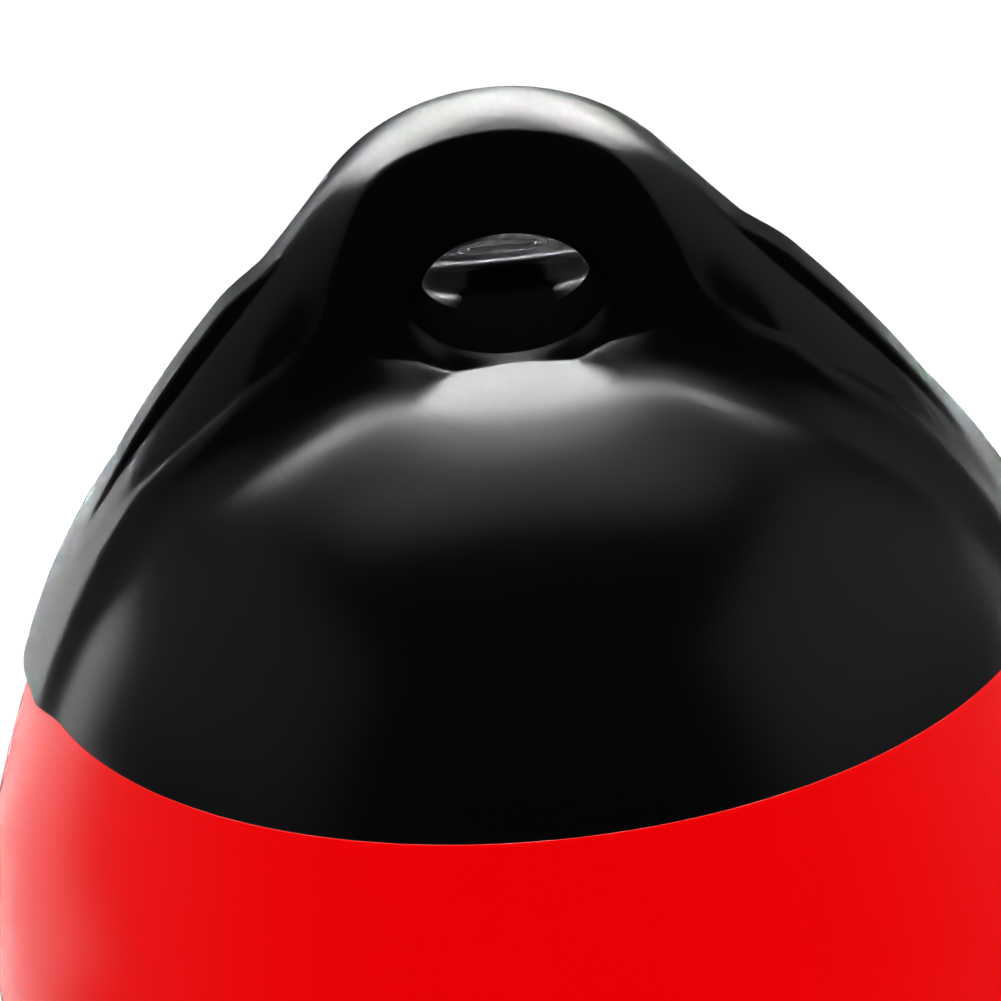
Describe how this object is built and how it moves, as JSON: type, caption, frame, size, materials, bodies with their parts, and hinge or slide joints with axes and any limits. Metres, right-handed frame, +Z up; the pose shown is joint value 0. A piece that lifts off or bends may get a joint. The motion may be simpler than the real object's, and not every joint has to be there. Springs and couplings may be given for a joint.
{
  "type": "ball fender",
  "caption": "Inflatable ball fender: glossy round body under a moulded end that rises into a rope eye, with ribbed wings down both sides and an air valve behind.",
  "frame": {"origin": "centre of the rope eye, where the fender hangs", "axes": "+Z up through the crown of the eye, along the fender's length; +Y along the rope's way through the eye, towards the valve side; +X along one wing"},
  "size_m": [0.233, 0.233, 0.2916],
  "materials": {
    "black_pvc": "satin gloss, moulded flexible PVC",
    "red_pvc": "gloss, moulded flexible PVC",
    "valve_nylon": "matt, moulded nylon",
    "seal_rubber": "matt rubber"
  },
  "bodies": {
    "root": {"rope_eye_end": "black_pvc", "inflated_ball": "red_pvc", "valve_seat": "valve_nylon", "valve_seal": "seal_rubber", "valve_screw": "valve_nylon"}
  },
  "joints": []
}
